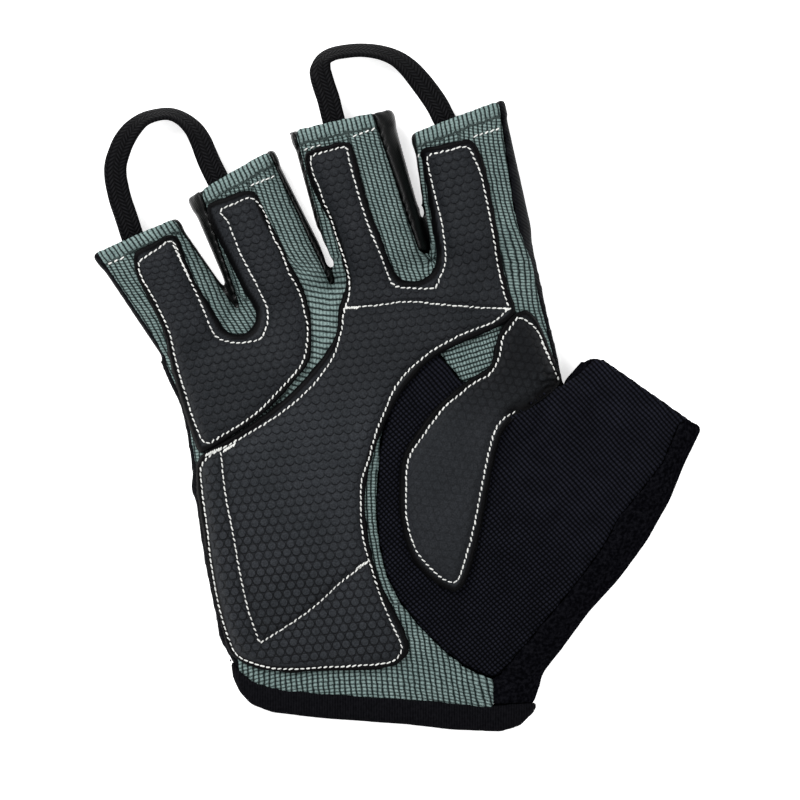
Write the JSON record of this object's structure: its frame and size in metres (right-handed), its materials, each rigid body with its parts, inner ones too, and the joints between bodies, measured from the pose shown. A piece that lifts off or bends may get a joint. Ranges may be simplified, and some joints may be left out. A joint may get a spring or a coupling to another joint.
{
  "type": "weightlifting glove",
  "caption": "Half-finger training glove for the right hand, knit with embossed leather palm pads, white topstitching, a bound wrist and tape loops to pull it off.",
  "frame": {"origin": "under the middle of the palm, on the flat back that the glove rests on", "axes": "+Y from the wrist to the fingertips, +Z out of the palm, and +X towards the thumb"},
  "size_m": [0.1645, 0.1867, 0.0245],
  "materials": {
    "knit_grey": "ribbed stretch knit, grey-green",
    "back_cloth": "ribbed stretch knit, black",
    "satin_cloth": "smooth stretch satin, black",
    "knit_black": "ribbed stretch knit, black",
    "plush_cloth": "short-pile terry, black",
    "binding_cloth": "soft brushed binding, black",
    "pad_leather": "charcoal leather embossed with round cells",
    "braid_tape": "flat braided tape, black"
  },
  "bodies": {
    "root": {"palm_panel": "knit_grey", "back_panel": "back_cloth", "fourchette_little_ring": "satin_cloth", "fourchette_ring_middle": "satin_cloth", "fourchette_middle_index": "satin_cloth", "thumb_panel": "knit_black", "thumb_side_panel": "plush_cloth", "cuff_binding": "binding_cloth", "ring_little_pad": "pad_leather", "palm_pad": "pad_leather", "thumb_pad": "pad_leather", "pull_loop_little_ring": "braid_tape", "pull_loop_middle_index": "braid_tape"}
  },
  "joints": []
}
